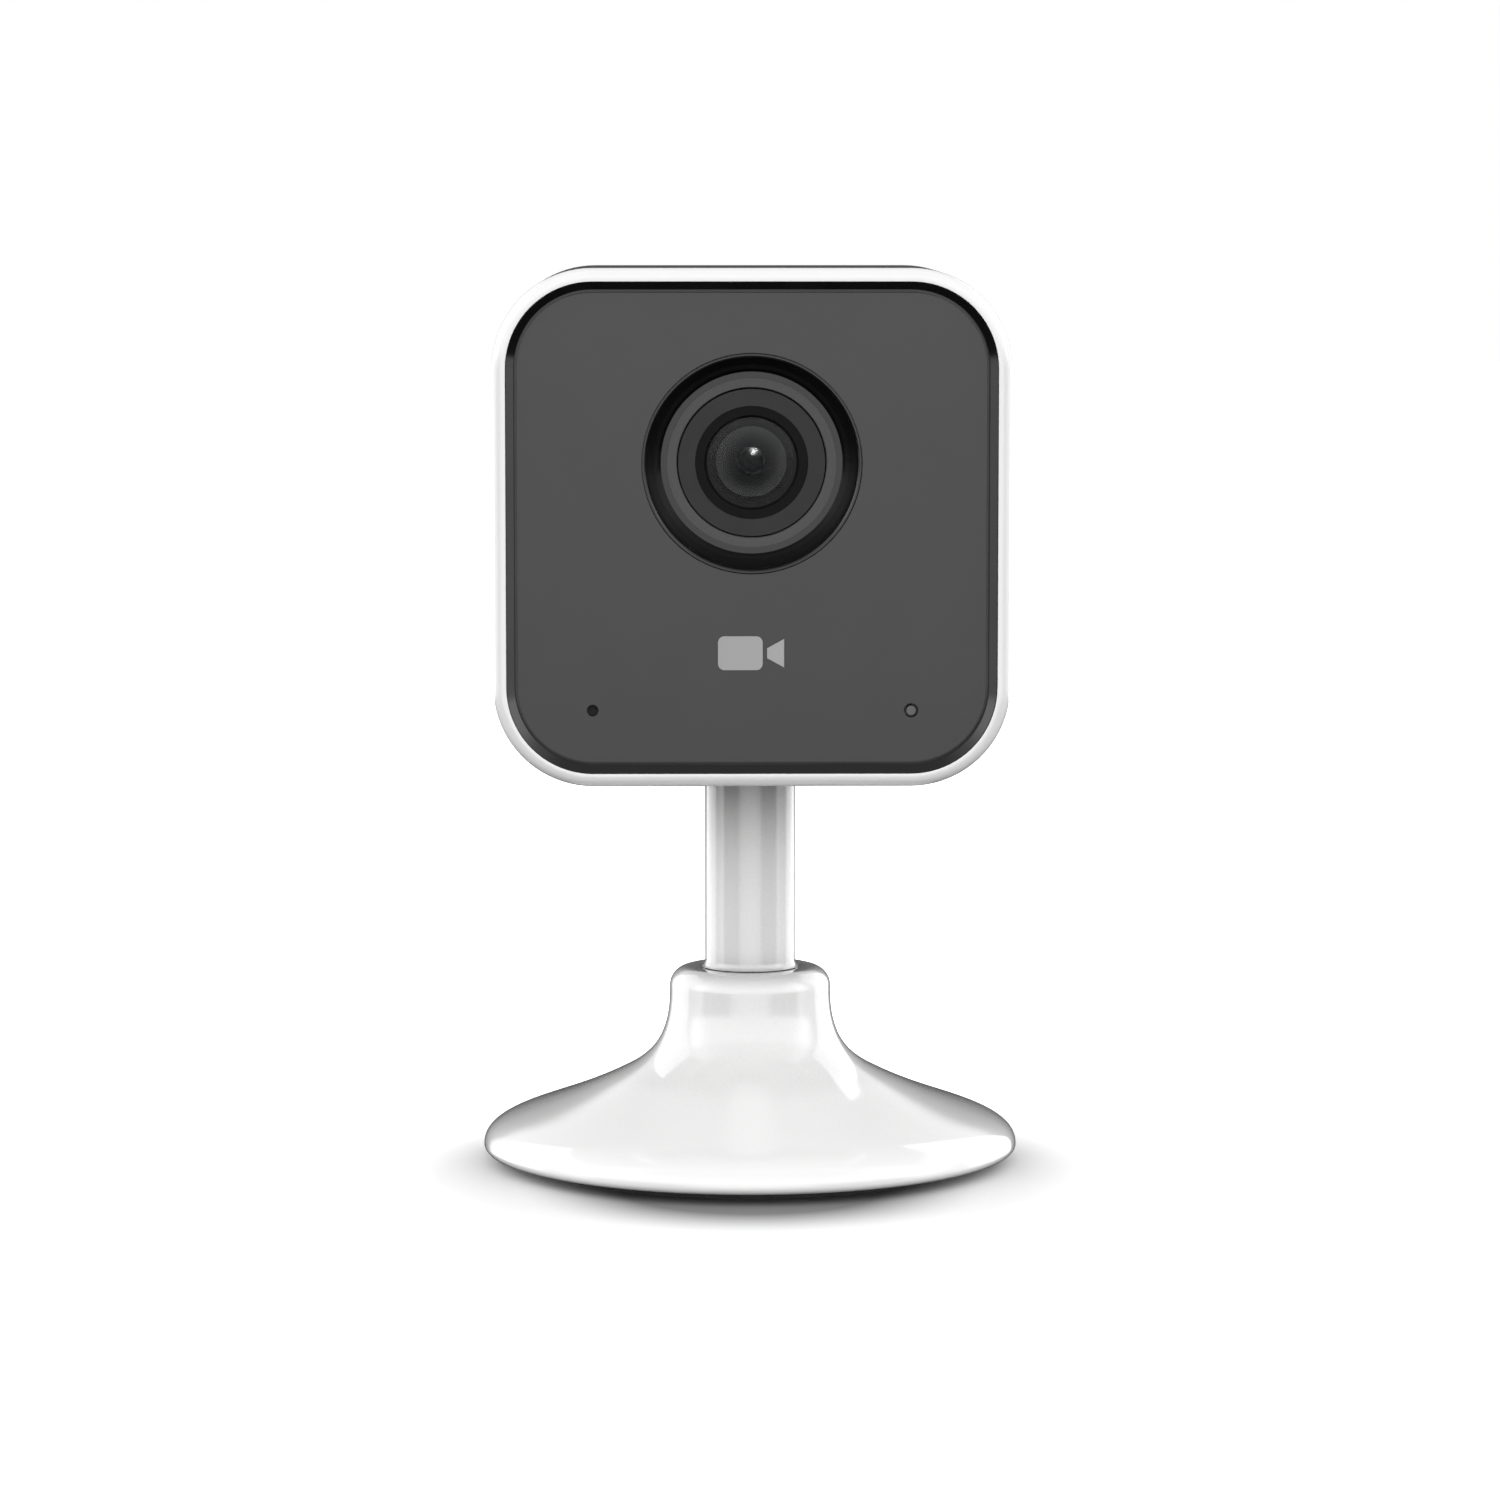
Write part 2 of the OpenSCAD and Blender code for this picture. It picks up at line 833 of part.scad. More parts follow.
module lens_retainer() {
    color("#1b1c1e")
        lens_turned([
            [glass_open_r + 0.25, barrel_front + 0.15], [retainer_r, barrel_front + 0.15],
            [retainer_r, glass_seat], [glass_open_r, glass_seat]
        ]);
}

// Front element: a domed face in front and a hollow one behind
module front_lens() {
    dome = (glass_open_r * glass_open_r + dome_sag * dome_sag) / (2 * dome_sag);
    hollow = 4.6;
    color("#30343c")
        translate([0, 0, lens_z])
            difference() {
                intersection() {
                    rotate([-90, 0, 0])
                        translate([0, 0, glass_seat - dome_sag])
                            cylinder(r = glass_open_r, h = front_back - glass_seat + dome_sag);
                    translate([0, glass_seat - dome_sag + dome, 0])
                        sphere(dome);
                }
                translate([0, glass_seat + 1.2 + hollow, 0])
                    sphere(hollow);
            }
    color("#30343c")
        ring_y([0, lens_z], glass_seat, front_back, glass_r, glass_open_r - 0.01);
}

module middle_lens() {
    color("#3a3f49")
        lens_turned([
            [0, middle_back], [0, front_back + 0.2], [3.9, front_back],
            [element_r, front_back], [element_r, middle_back]
        ]);
}

module aperture_stop() {
    color("#101112")
        ring_y([0, lens_z], middle_back, stop_back, element_r, stop_r);
}

module rear_lens() {
    color("#3a3f49")
        lens_turned([
            [0, stop_back + 0.3], [3.2, stop_back + 0.7], [3.6, stop_back], [element_r, stop_back],
            [element_r, barrel_back - lens_lip], [0, barrel_back - lens_lip]
        ]);
}

// Holder of the lens, screwed down over the image sensor, with room for the filters
module lens_holder() {
    color(black)
        difference() {
            union() {
                box(
                    [-holder_half[0], holder_front, lens_z - holder_half[1]],
                    [holder_half[0], main_board_y, lens_z + holder_half[1]]
                );
                bar_y([0, lens_z], barrel_step + 0.5, holder_front + 0.1, 7.4);
            }
            bar_y([0, lens_z], barrel_step, cavity_front + cut, barrel_thread_r + running);
            box(
                [-cavity_half[0], cavity_front, lens_z - cavity_half[1]],
                [cavity_half[0], main_board_y + cut, lens_z + cavity_half[1]]
            );
            box([-4.4, cavity_front, lens_z - holder_half[1] - cut], [4.4, main_board_y + cut, lens_z]);
        }
}

module filter_cover() {
    cover_y = carriage_y + carriage_t + 0.4;
    color("#2a2b2d")
        difference() {
            box(
                [-cavity_half[0], cover_y, lens_z - cavity_half[1]],
                [cavity_half[0], cover_y + 0.8, lens_z + cavity_half[1]]
            );
            box([-3, cover_y - cut, lens_z - 3], [3, cover_y + 0.8 + cut, lens_z + 3]);
        }
}

module filter_carriage() {
    back = carriage_y + carriage_t;
    window = filter_w / 2;
    // The tail that hangs down to the coil
    tail_x = filter_x[1] / 2;
    tail_half = 1.2;
    color("#e8e8e4")
        difference() {
            union() {
                box(
                    [filter_x[1] - 3, carriage_y, lens_z - carriage_half_z],
                    [3, back, lens_z + carriage_half_z]
                );
                box([tail_x - tail_half, carriage_y, lens_z - 12], [tail_x + tail_half, back, lens_z]);
            }
            for (x = filter_x)
                box(
                    [x - window, carriage_y - cut, lens_z - window],
                    [x + window, back + cut, lens_z + window]
                );
        }
}

module filter_glass() {
    color("#8fb7c9")
        for (x = filter_x)
            box(
                [x - filter_w / 2, carriage_y + 0.3, lens_z - filter_w / 2],
                [x + filter_w / 2, carriage_y + 0.7, lens_z + filter_w / 2]
            );
}

// Flat coil that draws the carriage's magnet to one side or the other
module filter_coil() {
    color("#b5692f")
        difference() {
            box([-6.5, main_board_y - 2.6, lens_z - 14.1], [6.5, main_board_y, lens_z - 9.3]);
            box([-4.5, main_board_y - 2.6 - cut, lens_z - 12.5], [4.5, main_board_y + cut, lens_z - 10.9]);
        }
}

module image_sensor() {
    color("#3c5a86")
        box([-4, main_board_y - 1, lens_z - 3.5], [4, main_board_y, lens_z + 3.5]);
}

// ---- Head: electronics ----

module main_board() {
    color(board)
        difference() {
            plate_y(main_board_y, main_board_back)
                round_square(25.8, 8);
            box([-11, main_board_y - cut, 0], [11, main_board_back + cut, tilt_z + 8.5]);
            for (at = housing_screw_at)
                bar_y(at, main_board_y - cut, main_board_back + cut, 2.7);
            for (at = board_screw_at)
                bar_y(at, main_board_y - cut, main_board_back + cut, 1.1);
        }
}

module processor_chip() {
    color("#202124")
        box(
            [-chip_half, main_board_back, chip_mid_z - chip_half],
            [chip_half, main_board_back + chip_h, chip_mid_z + chip_half]
        );
}

module thermal_pad() {
    color("#9aa7c4")
        box(
            [-chip_half, main_board_back + chip_h, chip_mid_z - chip_half],
            [chip_half, spreader_front, chip_mid_z + chip_half]
        );
}

// Sheet-metal cover over the processor, with a skirt at each side
module heat_spreader() {
    half = [13, 10];
    sheet = 1;
    low = chip_mid_z + 1 - half[1];
    high = chip_mid_z + 1 + half[1];
    color(steel)
        union() {
            box([-half[0], spreader_front, low], [half[0], spreader_front + sheet, high]);
            for (side = [-1, 1]) {
                skirt = [side * (half[0] - sheet), side * half[0]];
                box([min(skirt), main_board_back, low], [max(skirt), spreader_front + sheet, high]);
            }
        }
}

module memory_chips() {
    half = 3;
    color("#202124")
        for (z = [head_z - 2.2, head_z + 4.3])
            box([-20 - half, main_board_back, z - half], [half - 20, main_board_back + chip_h, z + half]);
}

// Thin can over the radio, open towards the board
module rf_shield() {
    low = [12, main_board_y - 2.4, head_z - 7.7];
    high = [24, main_board_y, head_z + 5.3];
    sheet = 0.4;
    color(steel)
        difference() {
            box(low, high);
            box(low + [sheet, sheet, sheet], high + [-sheet, cut, -sheet]);
        }
}

module wifi_antenna() {
    color("#b08a3c")
        box(
            [-inner_half, main_board_back + 0.5, head_z - 13],
            [0.5 - inner_half, inner_back - 4.2, head_z + 12]
        );
}

module front_board() {
    color(board)
        difference() {
            plate_y(front_board_y, front_board_y + front_board_t)
                round_square(24.6, 7);
            bar_y([0, lens_z], front_board_y - cut, front_board_y + front_board_t + cut, 11);
            for (at = housing_screw_at)
                bar_y(at, front_board_y - cut, front_board_y + front_board_t + cut, 2.6);
            for (at = board_screw_at)
                bar_y(at, front_board_y - cut, front_board_y + front_board_t + cut, 2.0);
        }
}

module ir_leds() {
    half = 1.7;
    body_y = front_board_y - 0.7;
    color("#c9c6b4")
        for (x = [-lamp_x, lamp_x]) {
            box([x - half, body_y, lens_z - half], [x + half, front_board_y, lens_z + half]);
            bar_y([x, lens_z], body_y - 0.8, body_y, 1.3);
        }
}

module light_sensor() {
    color("#d8d8d0")
        box(
            [sensor_at[0] - 1, front_board_y - 0.8, sensor_at[1] - 0.8],
            [sensor_at[0] + 1, front_board_y, sensor_at[1] + 0.8]
        );
}

module status_led() {
    color("#dfe6da")
        box(
            [corner_hole[0] - 0.8, front_board_y - 0.7, corner_hole[1] - 0.8],
            [corner_hole[0] + 0.8, front_board_y, corner_hole[1] + 0.8]
        );
}

module light_pipe() {
    color("#8f9193")
        union() {
            bar_y(corner_hole, panel_front + 0.05, front_board_y - 0.9, light_pipe_r);
            bar_y(corner_hole, plate_front + 0.2, plate_back, 0.95);
        }
}

module microphone() {
    color("#c8b26a")
        box(
            [-corner_hole[0] - 1.5, front_board_y - 1, corner_hole[1] - 1.3],
            [1.5 - corner_hole[0], front_board_y, corner_hole[1] + 1.3]
        );
}

// Rubber tube between the panel and the microphone; a thin skin in front keeps dust out
module mic_boot() {
    at = [-corner_hole[0], corner_hole[1]];
    skin = 0.15;
    color("#18191a")
        difference() {
            bar_y(at, panel_back, front_board_y - 1, 1.9);
            bar_y(at, panel_back + skin, front_board_y, 0.5);
        }
}

// Flat cable with a connector on each board
module board_flex() {
    y0 = front_board_y + front_board_t;
    z0 = head_z - 16.7;
    z1 = head_z - 8.7;
    color("#c8893a")
        union() {
            box([-17, y0, z0 - 1.2], [-9, y0 + 1.2, z0 + 1.2]);
            box([-17, main_board_y - 1.2, z1 - 1.2], [-9, main_board_y, z1 + 1.2]);
            plate_x(-16.5, -9.5)
                polygon([
                    [y0 + 1, z0 - 0.2], [y0 + 1, z0 + 0.2],
                    [main_board_y - 1, z1 + 0.2], [main_board_y - 1, z1 - 0.2]
                ]);
        }
}

module speaker() {
    front = inner_back - gasket_t;
    color("#3a3b3d")
        translate([0, 0, speaker_z])
            rotate([-90, 0, 0])
                rotate_extrude()
                    polygon([
                        [0, speaker_back], [7, speaker_back], [7, front - 1.4], [speaker_r, front - 1.2],
                        [speaker_r, front], [8.6, front], [4, front - 1.4], [0, front - 0.6]
                    ]);
}

module speaker_gasket() {
    color("#26272a")
        ring_y([0, speaker_z], inner_back - gasket_t, inner_back, speaker_r, 8.6);
}

module usb_socket() {
    color(steel)
        difference() {
            box([-3.9, main_board_back, usb_z - 1.4], [3.9, usb_floor, usb_z + 1.4]);
            box([-3.5, usb_floor - 4.8, usb_z - 1.0], [3.5, usb_floor + cut, usb_z + 1.0]);
        }
    color(black)
        box([-2.4, usb_floor - 4.9, usb_z + 0.1], [2.4, usb_floor - 0.6, usb_z + 0.7]);
}

module card_socket() {
    low = [13.4, main_board_back, card_z - 6.8];
    high = [inner_half - 0.4, main_board_back + 1.9, card_z + 6.8];
    sheet = 0.4;
    color(steel)
        difference() {
            box(low, high);
            box(low + [0.6, sheet, 1.2], high + [0.4 + cut, -sheet, -1.2]);
        }
}

module reset_switch() {
    half = 3;
    top = main_board_back + switch_h;
    color("#2b2c2e")
        union() {
            box(
                [reset_at[0] - half, main_board_back, reset_at[1] - half],
                [reset_at[0] + half, top, reset_at[1] + half]
            );
            bar_y(reset_at, top - cut, top + switch_stem, 1.3);
        }
}

// Plunger that stands in the housing's hole; its flange keeps it in
module reset_button() {
    tip = main_board_back + switch_h + switch_stem + reset_travel + running;
    flange = [inner_back - 1.2, inner_back - 0.3];
    color("#9b9da0")
        union() {
            bar_y(reset_at, tip, back_y - 0.2, reset_r);
            bar_y(reset_at, flange[0], flange[1], 2.6);
        }
}

module housing_screws() {
    color(steel)
        for (at = housing_screw_at)
            screw_y(at, seat_y, 2.1, 1.4, 1.0, 7);
}

module board_screws() {
    color(steel)
        for (at = board_screw_at)
            screw_y(at, main_board_back, 1.8, 1.2, 0.9, 4.8);
}

// ---- Assembly ----

base_shell();
base_floor();
foot_pad();
ballast_ring();
magnet_ring();
base_screws();
swivel_bush();
stem_sleeve();
stem_core();
swivel_spring_washer();
swivel_flat_washer();
swivel_nut();
rear_housing();
front_ring();
front_frame();
front_panel();
panel_tape();
lens_surround();
lens_trim_ring();
lens_barrel();
lens_retainer();
front_lens();
middle_lens();
aperture_stop();
rear_lens();
lens_holder();
filter_cover();
filter_coil();
filter_carriage();
filter_glass();
image_sensor();
main_board();
processor_chip();
memory_chips();
rf_shield();
thermal_pad();
heat_spreader();
wifi_antenna();
front_board();
ir_leds();
light_sensor();
status_led();
light_pipe();
microphone();
mic_boot();
board_flex();
speaker();
speaker_gasket();
usb_socket();
card_socket();
reset_switch();
reset_button();
hinge_bracket();
tilt_pin();
pin_clip();
friction_washers();
housing_screws();
board_screws();
bracket_screws();
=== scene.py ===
import json
from math import cos, hypot, pi, radians, sin

import bmesh
import bpy
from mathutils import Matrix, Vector


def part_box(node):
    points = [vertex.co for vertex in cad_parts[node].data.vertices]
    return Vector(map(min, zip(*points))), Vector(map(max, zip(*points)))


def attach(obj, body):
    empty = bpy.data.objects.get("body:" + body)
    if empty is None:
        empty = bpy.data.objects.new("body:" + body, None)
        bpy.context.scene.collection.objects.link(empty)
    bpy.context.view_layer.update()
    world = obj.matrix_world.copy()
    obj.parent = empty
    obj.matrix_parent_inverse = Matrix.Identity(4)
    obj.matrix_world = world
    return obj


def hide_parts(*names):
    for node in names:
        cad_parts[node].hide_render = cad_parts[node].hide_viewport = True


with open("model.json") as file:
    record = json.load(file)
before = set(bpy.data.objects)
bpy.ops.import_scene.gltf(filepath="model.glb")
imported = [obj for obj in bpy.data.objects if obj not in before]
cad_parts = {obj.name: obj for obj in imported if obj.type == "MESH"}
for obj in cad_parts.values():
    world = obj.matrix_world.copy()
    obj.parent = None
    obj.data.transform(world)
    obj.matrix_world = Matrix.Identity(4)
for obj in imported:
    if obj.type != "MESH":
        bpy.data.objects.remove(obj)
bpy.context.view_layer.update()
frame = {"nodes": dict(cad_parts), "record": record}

# Lengths are in metres. +Z is up and the lens looks along -Y.
MM = 0.001
TINY = 1e-7
# Edges with more than this angle in degrees between their faces stay sharp
SHARP = 32

# ---------------------------------------------------------------- places from the frame

base_low, base_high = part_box("base_shell")
foot_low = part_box("foot_pad")[0]
stem_low, stem_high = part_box("stem_sleeve")
panel_low, panel_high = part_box("front_panel")
glass_low, glass_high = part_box("front_lens")
BASE_R = base_high.x
COLLAR_TOP = base_high.z
STEM_FOOT = stem_low.z
STEM_TOP = stem_high.z
FOOT_R = stem_high.x
PANEL_FRONT = panel_low.y
HEAD_Z = (panel_low.z + panel_high.z) / 2
LENS_Z = (glass_low.z + glass_high.z) / 2
GLASS_R = glass_high.x
# Hole of the aperture stop
STOP_R = 1.4 * MM


# ---------------------------------------------------------------- shapes

def arc(centre, radii, start, end, steps):
    """Points of an ellipse's arc, angles in degrees."""
    points = []
    for i in range(steps + 1):
        angle = radians(start + (end - start) * i / steps)
        points.append((centre[0] + radii[0] * cos(angle), centre[1] + radii[1] * sin(angle)))
    return points


def cubic(p, t):
    """Point and direction of a cubic curve with the control points p."""
    u = 1 - t
    point = [u**3 * a + 3 * t * u * u * b + 3 * t * t * u * c + t**3 * d for a, b, c, d in zip(*p)]
    way = [3 * u * u * (b - a) + 6 * t * u * (c - b) + 3 * t * t * (d - c) for a, b, c, d in zip(*p)]
    return point, way


def along(p, steps, depth=0.0):
    """Points along a cubic curve, or at a depth inside it."""
    points = []
    for i in range(steps + 1):
        point, way = cubic(p, i / steps)
        size = hypot(*way)
        points.append((point[0] + way[1] / size * depth, point[1] - way[0] / size * depth))
    return points


def lathe(name, outline, steps):
    """A closed solid turned about the Z axis from a closed outline of (radius, height) points."""
    bm = bmesh.new()
    rings = []
    for r, h in outline:
        count = steps if r > TINY else 1
        ring = []
        for i in range(count):
            angle = 2 * pi * i / steps
            ring.append(bm.verts.new((r * cos(angle), r * sin(angle), h)))
        rings.append(ring)
    for one, two in zip(rings, rings[1:] + rings[:1]):
        for i in range(steps):
            j = (i + 1) % steps
            corners = []
            for v in (one[i % len(one)], one[j % len(one)], two[j % len(two)], two[i % len(two)]):
                if v not in corners:
                    corners.append(v)
            if len(corners) > 2:
                bm.faces.new(corners)
    bmesh.ops.recalc_face_normals(bm, faces=bm.faces)
    mesh = bpy.data.meshes.new(name)
    bm.to_mesh(mesh)
    bm.free()
    return show(name, mesh)


def show(name, mesh):
    """Puts a mesh in the scene, smooth except at its sharp edges."""
    mesh.shade_smooth()
    mesh.set_sharp_from_angle(angle=radians(SHARP))
    piece = bpy.data.objects.new(name, mesh)
    bpy.context.scene.collection.objects.link(piece)
    return piece


def finish_piece(piece, material, body, replaced=()):
    """Gives a piece its material and its body, and hides the CAD nodes that it stands for."""
    piece.data.materials.clear()
    piece.data.materials.append(material)
    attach(piece, body)
    if replaced:
        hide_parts(*replaced)


# ---------------------------------------------------------------- materials

# Most of a noise texture's values lie between these two
NOISE_LOW = 0.3
NOISE_HIGH = 0.7
# A wave texture of scale 1 repeats after this many metres
WAVE_LENGTH = 0.314


def shader(name):
    """A new material with its Principled shader and tools to add nodes."""
    material = bpy.data.materials.new(name)
    material.use_nodes = True
    nodes = material.node_tree.nodes
    return material, nodes, material.node_tree.links, nodes["Principled BSDF"]


def noise(nodes, links, size, detail=3.0, stretch=(1, 1, 1)):
    """Noise whose features have a size in metres, in the object's own space."""
    where = nodes.new("ShaderNodeTexCoord")
    turn = nodes.new("ShaderNodeMapping")
    turn.inputs["Scale"].default_value = [s / size for s in stretch]
    texture = nodes.new("ShaderNodeTexNoise")
    texture.inputs["Scale"].default_value = 1.0
    texture.inputs["Detail"].default_value = detail
    links.new(where.outputs["Object"], turn.inputs["Vector"])
    links.new(turn.outputs["Vector"], texture.inputs["Vector"])
    return texture


def spread(nodes, links, source, low, high):
    """Turns a value from 0 to 1 into a value from low to high."""
    turn = nodes.new("ShaderNodeMapRange")
    turn.inputs["From Min"].default_value = NOISE_LOW
    turn.inputs["From Max"].default_value = NOISE_HIGH
    turn.inputs["To Min"].default_value = low
    turn.inputs["To Max"].default_value = high
    links.new(source, turn.inputs["Value"])
    return turn.outputs["Result"]


def tint(nodes, links, source, dark, light):
    """Turns a value from 0 to 1 into a colour between two others."""
    colours = nodes.new("ShaderNodeValToRGB")
    first, last = colours.color_ramp.elements
    first.position, last.position = NOISE_LOW, NOISE_HIGH
    first.color = (*dark, 1)
    last.color = (*light, 1)
    links.new(source, colours.inputs["Fac"])
    return colours.outputs["Color"]


def round_edges(nodes, width):
    """Normals that look rounded at a piece's edges, over a width in metres."""
    node = nodes.new("ShaderNodeBevel")
    node.samples = 4
    node.inputs["Radius"].default_value = width
    return node.outputs["Normal"]


def bump(nodes, links, principled, source, height, under=None):
    """Adds a bump of a height in metres, on top of other normals if there are any."""
    node = nodes.new("ShaderNodeBump")
    node.inputs["Strength"].default_value = 1.0
    node.inputs["Distance"].default_value = height
    links.new(source, node.inputs["Height"])
    if under is not None:
        links.new(under, node.inputs["Normal"])
    links.new(node.outputs["Normal"], principled.inputs["Normal"])
    return node.outputs["Normal"]


def set_inputs(principled, extra):
    """Gives a shader's inputs, named with _ for a space, one value each."""
    for socket, value in extra.items():
        principled.inputs[socket.replace("_", " ")].default_value = value


def moulded(
    name, colour, rough, rough_spread=0.04, tone=0.02, grain=0.35 * MM, height=0.4e-6, wave=0.0, edge=0.0,
    shade=0.0, **extra
):
    """Moulded plastic: slow changes of tone, uneven polish, fine grain and a slight orange peel.

    An edge is the width in metres over which edges look rounded, and a shade is the reach of the painted
    shade: ambient occlusion darkens the colour in hollows and under other parts.
    """
    material, nodes, links, principled = shader(name)
    slow = noise(nodes, links, 18 * MM, 2.0)
    dark = [c * (1 - tone) for c in colour]
    light = [min(1, c * (1 + tone)) for c in colour]
    paint = tint(nodes, links, slow.outputs["Fac"], dark, light)
    # Painted shade: ambient occlusion darkens the base colour in hollows and under other parts
    if shade:
        hollow = nodes.new("ShaderNodeAmbientOcclusion")
        hollow.samples = 4
        hollow.inputs["Distance"].default_value = shade
        links.new(paint, hollow.inputs["Color"])
        paint = hollow.outputs["Color"]
    links.new(paint, principled.inputs["Base Color"])
    polish = noise(nodes, links, 5 * MM, 5.0)
    low, high = rough - rough_spread, rough + rough_spread
    links.new(spread(nodes, links, polish.outputs["Fac"], low, high), principled.inputs["Roughness"])
    fine = noise(nodes, links, grain, 2.0)
    normal = round_edges(nodes, edge) if edge else None
    normal = bump(nodes, links, principled, fine.outputs["Fac"], height, normal)
    if wave:
        peel = noise(nodes, links, 2.6 * MM, 1.0)
        bump(nodes, links, principled, peel.outputs["Fac"], wave, normal)
    set_inputs(principled, extra)
    return material


def from_lens(nodes, links):
    """A point's place as seen from the lens."""
    where = nodes.new("ShaderNodeTexCoord")
    shift = nodes.new("ShaderNodeMapping")
    shift.inputs["Location"].default_value = (0, 0, -LENS_Z)
    links.new(where.outputs["Object"], shift.inputs["Vector"])
    return shift.outputs["Vector"]


def from_lens_axis(nodes, links):
    """Distance from the lens axis, in metres."""
    # Flattened along the axis, so that the length left is the distance from it
    flat = nodes.new("ShaderNodeVectorMath")
    flat.operation = "MULTIPLY"
    flat.inputs[1].default_value = (1, 0, 1)
    reach = nodes.new("ShaderNodeVectorMath")
    reach.operation = "LENGTH"
    links.new(from_lens(nodes, links), flat.inputs[0])
    links.new(flat.outputs["Vector"], reach.inputs[0])
    return reach.outputs["Value"]


def turned(name, colour, rough, pitch, height, **extra):
    """A surface finished on a lathe about the lens axis: fine rings, with a little unevenness."""
    material, nodes, links, principled = shader(name)
    rings = nodes.new("ShaderNodeTexWave")
    rings.wave_type = "RINGS"
    rings.rings_direction = "Y"
    rings.inputs["Scale"].default_value = WAVE_LENGTH / pitch
    rings.inputs["Distortion"].default_value = 0.4
    rings.inputs["Detail"].default_value = 2.0
    rings.inputs["Detail Scale"].default_value = 3.0
    links.new(from_lens(nodes, links), rings.inputs["Vector"])
    bump(nodes, links, principled, rings.outputs["Fac"], height)
    slow = noise(nodes, links, 3 * MM, 4.0)
    dark = [c * 0.9 for c in colour]
    light = [c * 1.1 for c in colour]
    links.new(tint(nodes, links, slow.outputs["Fac"], dark, light), principled.inputs["Base Color"])
    uneven = spread(nodes, links, slow.outputs["Fac"], rough * 0.85, rough * 1.15)
    links.new(uneven, principled.inputs["Roughness"])
    set_inputs(principled, extra)
    return material


def stop_plate(name):
    """Blackened sheet with a light ring round the hole of the aperture stop, a painted highlight of its edge.
    """
    material, nodes, links, principled = shader(name)
    # The light ring is a painted highlight, where the edge of the hole would catch the light
    blackened, painted_edge_highlight = (0.006, 0.006, 0.006), (0.9, 0.9, 0.91)
    edge = nodes.new("ShaderNodeMapRange")
    edge.inputs["From Min"].default_value = STOP_R + 0.24 * MM
    edge.inputs["From Max"].default_value = STOP_R + 0.14 * MM
    links.new(from_lens_axis(nodes, links), edge.inputs["Value"])
    paint = tint(nodes, links, edge.outputs["Result"], blackened, painted_edge_highlight)
    links.new(paint, principled.inputs["Base Color"])
    grain = noise(nodes, links, 0.3 * MM, 4.0)
    bump(nodes, links, principled, grain.outputs["Fac"], 2e-6)
    links.new(spread(nodes, links, grain.outputs["Fac"], 0.4, 0.55), principled.inputs["Roughness"])
    return material


def metal(name, colour, rough, grain=0.15 * MM, height=0.6e-6, stretch=(1, 1, 1)):
    """Plated or rolled metal with a fine grain and uneven brightness."""
    material, nodes, links, principled = shader(name)
    principled.inputs["Metallic"].default_value = 1.0
    cloud = noise(nodes, links, 1.5 * MM, 5.0)
    dark = [c * 0.8 for c in colour]
    light = [min(1, c * 1.15) for c in colour]
    links.new(tint(nodes, links, cloud.outputs["Fac"], dark, light), principled.inputs["Base Color"])
    uneven = spread(nodes, links, cloud.outputs["Fac"], rough * 0.75, rough * 1.3)
    links.new(uneven, principled.inputs["Roughness"])
    fine = noise(nodes, links, grain, 3.0, stretch)
    bump(nodes, links, principled, fine.outputs["Fac"], height)
    return material


def cellular(name, colour, rough, cell, height):
    """Foam or rubber: small cells that catch little light."""
    material, nodes, links, principled = shader(name)
    where = nodes.new("ShaderNodeTexCoord")
    cells = nodes.new("ShaderNodeTexVoronoi")
    cells.inputs["Scale"].default_value = 1 / cell
    links.new(where.outputs["Object"], cells.inputs["Vector"])
    bump(nodes, links, principled, cells.outputs["Distance"], height)
    dark = [c * 0.75 for c in colour]
    light = [c * 1.3 for c in colour]
    links.new(tint(nodes, links, cells.outputs["Distance"], dark, light), principled.inputs["Base Color"])
    slow = noise(nodes, links, 4 * MM, 4.0)
    uneven = spread(nodes, links, slow.outputs["Fac"], rough - 0.08, rough + 0.05)
    links.new(uneven, principled.inputs["Roughness"])
    principled.inputs["Specular IOR Level"].default_value = 0.35
    return material


def circuit_board(name):
    """Green solder mask over copper tracks."""
    material, nodes, links, principled = shader(name)
    where = nodes.new("ShaderNodeTexCoord")
    turn = nodes.new("ShaderNodeMapping")
    turn.inputs["Rotation"].default_value = (radians(90), 0, 0)
    tracks = nodes.new("ShaderNodeTexBrick")
    tracks.inputs["Scale"].default_value = 0.5 / MM
    tracks.inputs["Mortar Size"].default_value = 0.03
    tracks.inputs["Color1"].default_value = (0.012, 0.10, 0.035, 1)
    tracks.inputs["Color2"].default_value = (0.010, 0.075, 0.028, 1)
    tracks.inputs["Mortar"].default_value = (0.05, 0.22, 0.07, 1)
    links.new(where.outputs["Object"], turn.inputs["Vector"])
    links.new(turn.outputs["Vector"], tracks.inputs["Vector"])
    links.new(tracks.outputs["Color"], principled.inputs["Base Color"])
    bump(nodes, links, principled, tracks.outputs["Fac"], 8e-6)
    slow = noise(nodes, links, 3 * MM)
    links.new(spread(nodes, links, slow.outputs["Fac"], 0.25, 0.4), principled.inputs["Roughness"])
    return material


def winding(name):
    """Enamelled copper wire wound side by side, with painted shade in the gaps between the wires."""
    material, nodes, links, principled = shader(name)
    where = nodes.new("ShaderNodeTexCoord")
    wires = nodes.new("ShaderNodeTexWave")
    wires.bands_direction = "Z"
    wire = 0.12 * MM
    # Darker between the wires: painted shade in the gaps between them
    between, crest = (0.25, 0.08, 0.02), (0.75, 0.32, 0.12)
    wires.inputs["Scale"].default_value = WAVE_LENGTH / wire
    links.new(where.outputs["Object"], wires.inputs["Vector"])
    links.new(tint(nodes, links, wires.outputs["Fac"], between, crest), principled.inputs["Base Color"])
    bump(nodes, links, principled, wires.outputs["Fac"], 30e-6)
    slow = noise(nodes, links, 1 * MM)
    links.new(spread(nodes, links, slow.outputs["Fac"], 0.2, 0.35), principled.inputs["Roughness"])
    principled.inputs["Metallic"].default_value = 0.8
    return material


